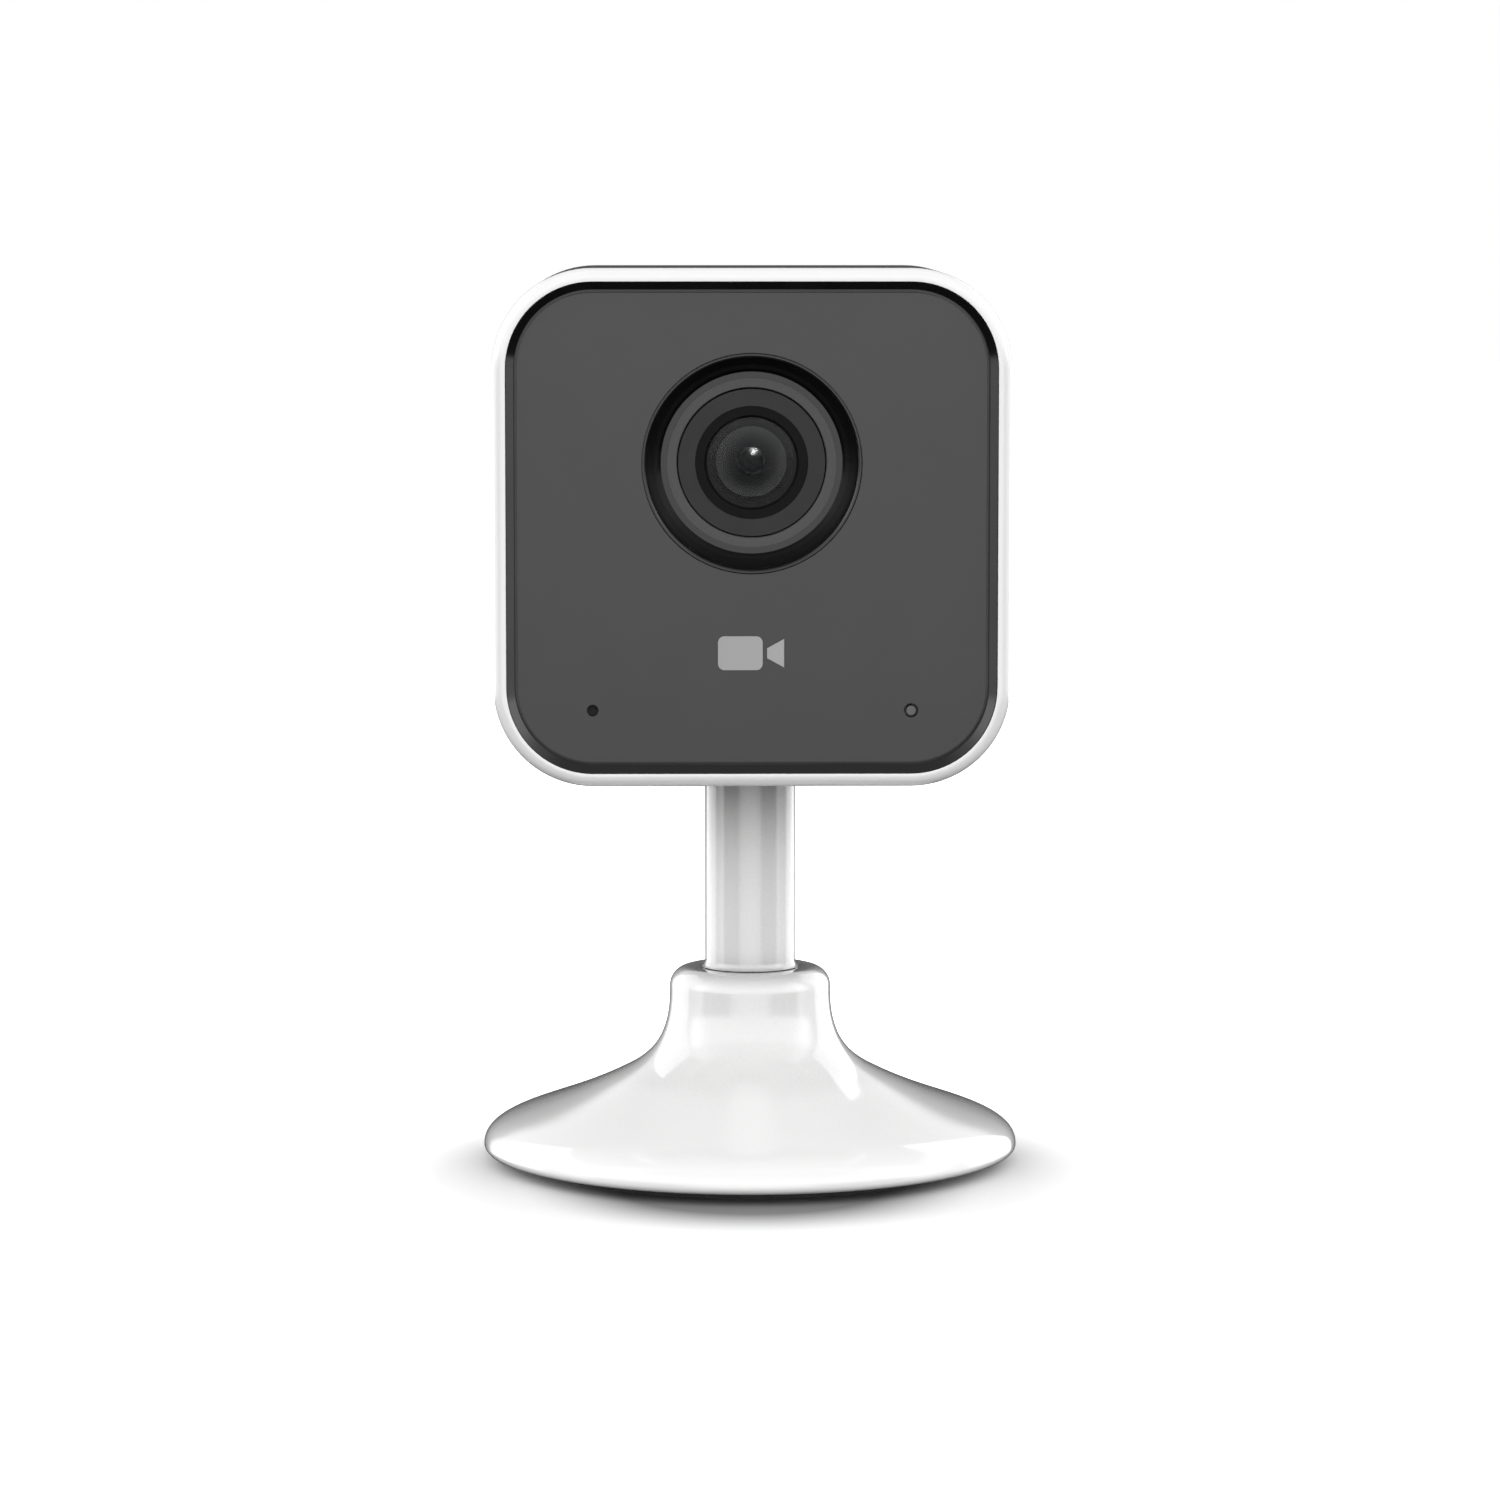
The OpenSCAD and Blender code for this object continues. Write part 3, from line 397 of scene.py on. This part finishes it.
def glass(name, colour, ior, rough, haze=0.0):
    """Coated optical glass, with the faintest smear on its polish and a haze that grows to its rim."""
    material, nodes, links, principled = shader(name)
    principled.inputs["Transmission Weight"].default_value = 1.0
    if haze:
        clear = nodes.new("ShaderNodeMapRange")
        clear.inputs["From Min"].default_value = STOP_R
        clear.inputs["From Max"].default_value = GLASS_R
        clear.inputs["To Min"].default_value = 1.0
        clear.inputs["To Max"].default_value = 1.0 - haze
        links.new(from_lens_axis(nodes, links), clear.inputs["Value"])
        links.new(clear.outputs["Result"], principled.inputs["Transmission Weight"])
    principled.inputs["IOR"].default_value = ior
    slow = noise(nodes, links, 2 * MM, 4.0)
    dark = [c * 0.97 for c in colour]
    links.new(tint(nodes, links, slow.outputs["Fac"], dark, colour), principled.inputs["Base Color"])
    links.new(spread(nodes, links, slow.outputs["Fac"], 0.7 * rough, rough), principled.inputs["Roughness"])
    return material


WHITE = (0.84, 0.84, 0.837)
# White plastic carries painted shade: its colour darkens in hollows and under the head, over a reach of 36 mm
white_gloss = moulded(
    "white_gloss", WHITE, 0.09, 0.02, 0.006, height=0.08e-6, wave=0.5e-6, edge=0.12 * MM, shade=36 * MM,
    Coat_Weight=1.0, Coat_Roughness=0.06
)
black_gloss = moulded(
    "black_gloss", (0.004, 0.004, 0.0042), 0.13, 0.03, 0.15, height=0.1e-6, wave=0.3e-6, edge=0.05 * MM
)
smoked = moulded(
    "smoked_panel", (0.03, 0.03, 0.0308), 0.24, 0.01, 0.02, grain=0.12 * MM, height=0.2e-6, edge=0.08 * MM
)
matt_black = moulded("matt_black", (0.015, 0.015, 0.016), 0.5, 0.06, 0.15, grain=0.1 * MM, height=4e-6)
chip_black = moulded("chip_black", (0.02, 0.02, 0.021), 0.42, 0.05, 0.15, grain=0.06 * MM, height=2e-6)
acetal = moulded(
    "acetal", (0.78, 0.76, 0.69), 0.35, 0.05, 0.03, grain=0.2 * MM, height=1e-6, Subsurface_Weight=0.1
)
button_grey = moulded("button_grey", (0.3, 0.3, 0.31), 0.3, 0.05, 0.04, grain=0.12 * MM, height=1.5e-6)
print_grey = moulded("print_grey", (0.36, 0.36, 0.365), 0.38, 0.06, 0.05, grain=0.08 * MM, height=1.5e-6)
guide_grey = moulded("light_guide", (0.10, 0.10, 0.102), 0.32, 0.05, 0.05, grain=0.1 * MM, height=1e-6)
epoxy = moulded("lamp_epoxy", (0.62, 0.6, 0.5), 0.18, 0.05, 0.08, height=0.4e-6)
film = moulded(
    "gold_film", (0.42, 0.2, 0.04), 0.3, 0.05, 0.1, height=0.6e-6, Coat_Weight=0.5, Coat_Roughness=0.1
)
trim_turned = turned("trim_ring", (0.05, 0.05, 0.051), 0.34, 0.12 * MM, 1.2e-6)
barrel_turned = turned(
    "barrel_black", (0.012, 0.012, 0.0122), 0.36, 0.1 * MM, 1.0e-6, Specular_IOR_Level=0.35
)
deep_black = moulded(
    "deep_black", (0.004, 0.004, 0.0042), 0.45, 0.05, 0.15, grain=0.1 * MM, height=2e-6,
    Specular_IOR_Level=0.1
)
rubber = cellular("foot_rubber", (0.03, 0.03, 0.031), 0.72, 0.14 * MM, 12e-6)
foam = cellular("foam", (0.02, 0.02, 0.02), 0.9, 0.25 * MM, 40e-6)
thermal = cellular("thermal_pad", (0.35, 0.4, 0.52), 0.6, 0.3 * MM, 10e-6)
zinc = metal("zinc_steel", (0.6, 0.61, 0.63), 0.3)
tin = metal("tinplate", (0.75, 0.74, 0.71), 0.22, height=0.3e-6)
aluminium = metal("aluminium_sheet", (0.78, 0.79, 0.8), 0.35, stretch=(0.08, 1, 1))
ferrite = metal("ferrite", (0.1, 0.1, 0.105), 0.55, height=3e-6)
gilt = metal("gilt_lid", (0.75, 0.58, 0.28), 0.25)
board_green = circuit_board("board_green")
copper = winding("copper_winding")
# Indices of refraction far below real glass, so that the lenses reflect as little as coated ones
lens_glass = glass("lens_glass", (0.9, 0.91, 0.93), 1.14, 0.1, haze=0.04)
inner_glass = glass("inner_glass", (0.85, 0.86, 0.9), 1.06, 0.05)
dark_glass = glass("dark_glass", (0.12, 0.12, 0.14), 1.1, 0.05)
filter_tint = glass("filter_glass", (0.55, 0.8, 0.9), 1.5, 0.02)
sensor = metal("sensor_silicon", (0.1, 0.14, 0.24), 0.12, height=0.1e-6)

SLOT_MATERIALS = {
    "white_gloss": white_gloss, "black_gloss": black_gloss, "smoked_panel": smoked, "trim_grey": trim_turned,
    "barrel_black": barrel_turned, "lens_glass": lens_glass, "foot_rubber": rubber, "black_matt": matt_black,
    "foam": foam, "acetal": acetal, "steel": zinc, "tinplate": tin, "spreader": aluminium, "ferrite": ferrite,
    "board_green": board_green, "thermal": thermal, "copper": copper, "gold_film": film, "lamp_epoxy": epoxy,
    "light_guide": guide_grey, "sensor_silicon": sensor, "mic_metal": gilt, "button_grey": button_grey,
}
# These nodes look different from the rest of their slot
NODE_MATERIALS = {
    "middle_lens": inner_glass, "rear_lens": dark_glass, "filter_glass": filter_tint,
    "lens_holder": deep_black, "filter_cover": deep_black, "lens_retainer": deep_black,
    "aperture_stop": stop_plate("stop_plate"), "processor_chip": chip_black, "memory_chips": chip_black,
}
for entry in frame["record"]["subparts"]:
    node = frame["nodes"][entry["node"]]
    usual = SLOT_MATERIALS[entry["material_slot"]]
    node.data.materials.clear()
    node.data.materials.append(NODE_MATERIALS.get(entry["node"], usual))


# ---------------------------------------------------------------- base and stem

def make_base():
    """The white shell: a collar, a flare that turns from hollow to crowned, and a thin rim."""
    collar_r = 9.3 * MM
    edge = 2.2 * MM
    side = COLLAR_TOP - 2.7 * MM
    turn = (16 * MM, 9.9 * MM)
    widest = 2.0 * MM
    rim = base_low.z
    wall = 1.8 * MM
    under = 0.95 * MM
    # Control points of the two curves, from the collar down to the turn and from there to the widest point
    upper = [(collar_r, side), (collar_r, 13.3 * MM), (12.3 * MM, 11.7 * MM), turn]
    lower = [turn, (24.8 * MM, 5.6 * MM), (BASE_R, 5.5 * MM), (BASE_R, widest)]
    bore = 5.2 * MM
    lip = 0.1 * MM
    boss_r = 8.2 * MM
    boss = 12 * MM
    outline = [(bore, boss), (bore, COLLAR_TOP - lip)]
    outline += arc((bore + lip, COLLAR_TOP - lip), (lip, lip), 180, 90, 4)[1:]
    outline += arc((collar_r - edge, COLLAR_TOP - edge), (edge, edge), 90, 0, 16)
    outline += along(upper, 40)
    outline += along(lower, 48)[1:]
    outline += arc((BASE_R - under, widest), (under, widest - rim), -8, -90, 8)
    outline += [(BASE_R - wall, rim)]
    inner = along(upper, 24, wall)[:-1] + along(lower, 24, wall)
    outline += [p for p in reversed(inner) if p[0] > boss_r]
    outline += [(boss_r, inner_height(inner, boss_r)), (boss_r, boss)]
    return lathe("base_skin", outline, steps=256)


def inner_height(points, radius):
    """Height of an outline where it passes a radius."""
    for (r0, h0), (r1, h1) in zip(points, points[1:]):
        if r0 <= radius <= r1:
            return h0 + (h1 - h0) * (radius - r0) / (r1 - r0)
    return points[0][1]


def make_stem():
    """The white sleeve of the stem, with its flared foot."""
    stem_r = 5.2 * MM
    bore = 3.4 * MM
    flare = (FOOT_R - stem_r, 0.8 * MM)
    edge = 0.08 * MM
    top = 0.4 * MM
    outline = [(bore, STEM_FOOT), (FOOT_R - edge / 2, STEM_FOOT)]
    outline += arc((FOOT_R - edge / 2, STEM_FOOT + edge / 2), (edge / 2, edge / 2), -90, 60, 6)[1:]
    outline += arc((FOOT_R, STEM_FOOT + edge + flare[1]), flare, 265, 180, 12)
    outline += arc((stem_r - top, STEM_TOP - top), (top, top), 0, 90, 6)
    outline += [(bore, STEM_TOP)]
    return lathe("stem_skin", outline, steps=160)


finish_piece(make_base(), white_gloss, "base", ["base_shell"])
finish_piece(make_stem(), white_gloss, "stem", ["stem_sleeve"])


# ---------------------------------------------------------------- printed sign

def make_sign():
    """A small generic video-camera sign, printed on the panel under the lens."""
    width, height, corner = 5.0 * MM, 3.8 * MM, 0.7 * MM
    thick = 0.02 * MM
    centre_x, centre_z = -1.3 * MM, HEAD_Z - 14.0 * MM
    box_shape = []
    for sx, sz, start in ((1, 1, 0), (-1, 1, 90), (-1, -1, 180), (1, -1, 270)):
        middle = (sx * (width / 2 - corner), sz * (height / 2 - corner))
        box_shape += arc(middle, (corner, corner), start, start + 90, 6)
    near, far = width / 2 + 0.5 * MM, width / 2 + 2.4 * MM
    narrow, wide = 0.55 * MM, 1.6 * MM
    horn = [(near, -narrow), (far, -wide), (far, wide), (near, narrow)]
    bm = bmesh.new()
    for shape in (box_shape, horn):
        front = [bm.verts.new((centre_x + x, PANEL_FRONT - thick, centre_z + z)) for x, z in shape]
        back = [bm.verts.new((v.co.x, PANEL_FRONT, v.co.z)) for v in front]
        bm.faces.new(front)
        bm.faces.new(back)
        for i in range(len(shape)):
            bm.faces.new((front[i - 1], front[i], back[i], back[i - 1]))
    bmesh.ops.recalc_face_normals(bm, faces=bm.faces)
    mesh = bpy.data.meshes.new("printed_sign")
    bm.to_mesh(mesh)
    bm.free()
    return show("printed_sign", mesh)


finish_piece(make_sign(), print_grey, "head")


# ---------------------------------------------------------------- stage

# How bright the surroundings are, as (place, value) stops. The wall, from straight in front to the back
WALL = [
    (0.0, 1.6), (0.03, 1.4), (0.08, 0.3), (0.3, 0.3), (0.38, 1.6), (0.5, 1.2), (0.92, 1.2), (0.96, 0.1),
    (1.0, 0.02)
]
# The ceiling, from the horizon to the zenith, and how much of it there is from front to back
CEILING = [(0.0, 2.05), (0.4, 2.05), (0.7, 1.0), (0.9, 0.5), (1.0, 0.45)]
ROUND = [(0.0, 1.0), (0.2, 1.0), (0.42, 1.5), (0.6, 0.5), (1.0, 0.4)]
# How high the wall reaches, from front to back, as the sine of the angle above the horizon
HORIZON = [(0.0, 0.0), (0.9, 0.0), (0.97, 0.3), (1.0, 0.35)]
# How much of the wall goes on under the horizon, from straight down to level
SINK = [(0.0, 0.0), (0.8, 0.0), (0.86, 1.0), (1.0, 1.0)]
# Light that comes from everywhere
AMBIENT = 0.04

# Places, sizes and brightness of the lamps. The spark is the small highlight in the lens
LEFT_LIGHT = (-0.85, 0.53, 0.36)
RIGHT_LIGHT = (0.78, 0.63, 0.36)
SIDE_TARGET = (0, 0, 0.05)
SIDE_SIZE = (0.95, 1.1)
SIDE_RADIANCE = 1.1
SPARK = (0.045, -1.0, 0.225)
SPARK_SIZE = (0.11, 0.11)
SPARK_RADIANCE = 150.0

# Centre on the floor, then where the white glow round the object starts and where it is full
GLOW = ((0, -10 * MM), 28 * MM, 70 * MM)
# Centre, inner and outer radius of the shadow painted on the floor, and the tone left in its middle
SHADOW = ((0, -20 * MM), 9 * MM, 27 * MM)
SHADOW_SHARE = 0.25
FLOOR_HALF = 3.0
BACKDROP_R = 2.99
BACKDROP_FOOT = -0.6


def softbox(name, place, target, size, radiance):
    """A rectangular studio light that looks at a point, given by how bright it is."""
    data = bpy.data.lights.new(name, "AREA")
    data.shape = "RECTANGLE"
    data.size, data.size_y = size
    data.energy = radiance * pi * size[0] * size[1]
    lamp = bpy.data.objects.new(name, data)
    lamp.location = place
    lamp.rotation_euler = (Vector(target) - Vector(place)).to_track_quat("-Z", "Y").to_euler()
    lamp.visible_camera = False
    bpy.context.scene.collection.objects.link(lamp)
    return lamp


def distance_ramp(nodes, links, centre, near, far):
    """A value that rises smoothly from 0 to 1 between two distances from a point on the floor."""
    where = nodes.new("ShaderNodeTexCoord")
    shift = nodes.new("ShaderNodeVectorMath")
    shift.operation = "SUBTRACT"
    shift.inputs[1].default_value = (*centre, 0)
    reach = nodes.new("ShaderNodeVectorMath")
    reach.operation = "LENGTH"
    fade = nodes.new("ShaderNodeMapRange")
    fade.interpolation_type = "SMOOTHSTEP"
    fade.inputs["From Min"].default_value = near
    fade.inputs["From Max"].default_value = far
    links.new(where.outputs["Object"], shift.inputs[0])
    links.new(shift.outputs["Vector"], reach.inputs[0])
    links.new(reach.outputs["Value"], fade.inputs["Value"])
    return fade.outputs["Result"]


def make_floor():
    """A pale floor far larger than the view, whose glow turns it into the white backdrop further out."""
    bm = bmesh.new()
    signs = ((-1, -1), (1, -1), (1, 1), (-1, 1))
    bm.faces.new([bm.verts.new((x * FLOOR_HALF, y * FLOOR_HALF, foot_low.z)) for x, y in signs])
    mesh = bpy.data.meshes.new("floor")
    bm.to_mesh(mesh)
    bm.free()
    floor = show("floor", mesh)
    material, nodes, links, principled = shader("pale_floor")
    slow = noise(nodes, links, 60 * MM, 2.0)
    pale = tint(nodes, links, slow.outputs["Fac"], (0.89, 0.89, 0.89), (0.91, 0.91, 0.91))
    principled.inputs["Roughness"].default_value = 0.9
    principled.inputs["Specular IOR Level"].default_value = 0.0
    principled.inputs["Emission Color"].default_value = (1, 1, 1, 1)
    links.new(distance_ramp(nodes, links, *GLOW), principled.inputs["Emission Strength"])
    # The shadow in front of the base is painted: no lamp casts it
    shadow = distance_ramp(nodes, links, *SHADOW)
    mix = nodes.new("ShaderNodeVectorMath")
    mix.operation = "SCALE"
    links.new(pale, mix.inputs[0])
    links.new(maths(nodes, links, "MAXIMUM", shadow, SHADOW_SHARE), mix.inputs["Scale"])
    links.new(mix.outputs["Vector"], principled.inputs["Base Color"])
    mesh.materials.append(material)
    floor.visible_glossy = False
    floor.visible_diffuse = False
    floor.visible_shadow = False


def make_backdrop():
    """A white dome round the whole scene that only the camera sees."""
    round_top = arc((0, 0), (BACKDROP_R, BACKDROP_R), 89, -10, 40)
    dome = lathe("backdrop", [(0, BACKDROP_R)] + round_top + [(0, BACKDROP_FOOT)], steps=48)
    material = bpy.data.materials.new("white_backdrop")
    material.use_nodes = True
    nodes = material.node_tree.nodes
    nodes.clear()
    glow = nodes.new("ShaderNodeEmission")
    glow.inputs["Strength"].default_value = 1.0
    out = nodes.new("ShaderNodeOutputMaterial")
    material.node_tree.links.new(glow.outputs["Emission"], out.inputs["Surface"])
    dome.data.materials.append(material)
    dome.visible_glossy = False
    dome.visible_diffuse = False
    dome.visible_transmission = False
    dome.visible_shadow = False


def ramp(nodes, links, source, low, high, stops):
    """A smooth value that follows a source from low to high through (place from 0 to 1, value) stops."""
    turn = nodes.new("ShaderNodeMapRange")
    turn.inputs["From Min"].default_value = low
    turn.inputs["From Max"].default_value = high
    colours = nodes.new("ShaderNodeValToRGB")
    colours.color_ramp.interpolation = "EASE"
    elements = colours.color_ramp.elements
    elements[0].position, elements[1].position = stops[0][0], stops[-1][0]
    elements[0].color = (*[stops[0][1]] * 3, 1)
    elements[1].color = (*[stops[-1][1]] * 3, 1)
    for position, value in stops[1:-1]:
        elements.new(position).color = (value, value, value, 1)
    links.new(source, turn.inputs["Value"])
    links.new(turn.outputs["Result"], colours.inputs["Fac"])
    return colours.outputs["Color"]


def maths(nodes, links, operation, one, two):
    """One sum with two values, each a number or another node's output."""
    node = nodes.new("ShaderNodeMath")
    node.operation = operation
    for socket, value in zip(node.inputs, (one, two)):
        if isinstance(value, (int, float)):
            socket.default_value = value
        else:
            links.new(value, socket)
    return node.outputs["Value"]


def make_world():
    """Studio surroundings: a bright ceiling in front, walls at the sides, and darkness behind and below."""
    world = bpy.data.worlds.new("studio")
    world.use_nodes = True
    bpy.context.scene.world = world
    nodes, links = world.node_tree.nodes, world.node_tree.links

    def calc(operation, one, two):
        return maths(nodes, links, operation, one, two)

    where = nodes.new("ShaderNodeTexCoord")
    split = nodes.new("ShaderNodeSeparateXYZ")
    links.new(where.outputs["Generated"], split.inputs["Vector"])
    x, y, z = (split.outputs[axis] for axis in "XYZ")
    level = calc("SQRT", calc("ADD", calc("MULTIPLY", x, x), calc("MULTIPLY", y, y)), 0.0)
    # From -1 straight in front to 1 straight behind
    behind = calc("DIVIDE", y, calc("MAXIMUM", level, 0.001))
    wall = calc(
        "MULTIPLY", ramp(nodes, links, behind, -1.0, 1.0, WALL), ramp(nodes, links, z, -1.0, 0.0, SINK)
    )
    ceiling = calc(
        "MULTIPLY", ramp(nodes, links, z, 0.0, 1.0, CEILING), ramp(nodes, links, behind, -1.0, 1.0, ROUND)
    )
    above = calc("SUBTRACT", z, ramp(nodes, links, behind, -1.0, 1.0, HORIZON))
    rise = ramp(nodes, links, above, -0.02, 0.12, [(0.0, 0.0), (1.0, 1.0)])
    low = calc("MULTIPLY", wall, calc("SUBTRACT", 1.0, rise))
    high = calc("MULTIPLY", ceiling, rise)
    total = calc("ADD", calc("ADD", low, high), AMBIENT)
    nodes["Background"].inputs["Color"].default_value = (1, 1, 1, 1)
    links.new(total, nodes["Background"].inputs["Strength"])


def make_spark():
    """A small bright lamp whose reflection is seen in the front lens and nowhere else."""
    spark = softbox("lens_spark", SPARK, (0, 0, LENS_Z), SPARK_SIZE, SPARK_RADIANCE)
    spark.data.shape = "DISK"
    spark.visible_transmission = False
    spark.visible_diffuse = False
    seen_in = bpy.data.collections.new("lit_by_spark")
    seen_in.objects.link(frame["nodes"]["front_lens"])
    spark.light_linking.receiver_collection = seen_in


def make_camera():
    """A long lens a little above the head, looking slightly down."""
    back, height, down, aside = 0.619, 0.1117, 5.9, 0.7
    data = bpy.data.cameras.new("camera")
    data.lens = 129.2
    data.clip_start = 0.01
    camera = bpy.data.objects.new("camera", data)
    camera.location = (-back * sin(radians(aside)), -back * cos(radians(aside)), height)
    camera.rotation_euler = (radians(90 - down), 0, radians(-aside))
    bpy.context.scene.collection.objects.link(camera)
    bpy.context.scene.camera = camera


make_camera()
make_floor()
make_backdrop()
make_world()
softbox("left_light", LEFT_LIGHT, SIDE_TARGET, SIDE_SIZE, SIDE_RADIANCE)
softbox("right_light", RIGHT_LIGHT, SIDE_TARGET, SIDE_SIZE, SIDE_RADIANCE)
make_spark()
bpy.context.scene.view_settings.view_transform = "Standard"
